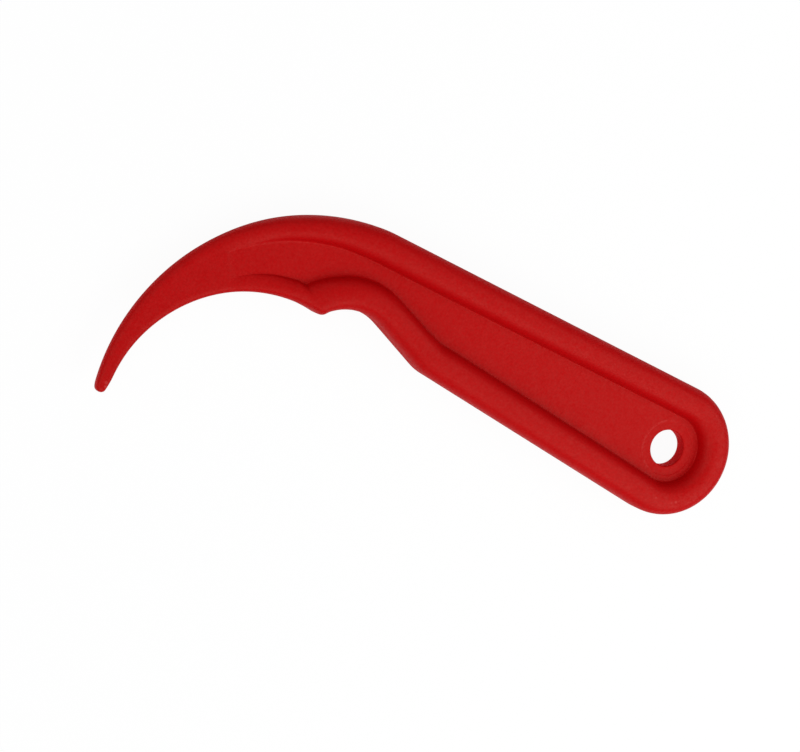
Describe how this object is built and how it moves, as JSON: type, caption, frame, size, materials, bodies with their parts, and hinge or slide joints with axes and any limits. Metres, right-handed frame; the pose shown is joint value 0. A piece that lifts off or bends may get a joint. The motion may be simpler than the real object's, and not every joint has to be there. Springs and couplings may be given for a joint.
{
  "type": "hive tool",
  "caption": "Moulded plastic hook pick with a rounded rim round a thin web, a tapering curved claw, a small tooth, a finger recess and a hanging hole in the butt.",
  "frame": {"origin": "middle of the bounding box in X and Y, on the underside", "axes": "+X along the handle towards the hanging hole, claw at -X hooking towards -Y, +Z out of the shown face"},
  "size_m": [0.1588, 0.0698, 0.0115],
  "materials": {
    "tool_body": "satin"
  },
  "bodies": {
    "root": {"tool_body": "tool_body"}
  },
  "joints": []
}
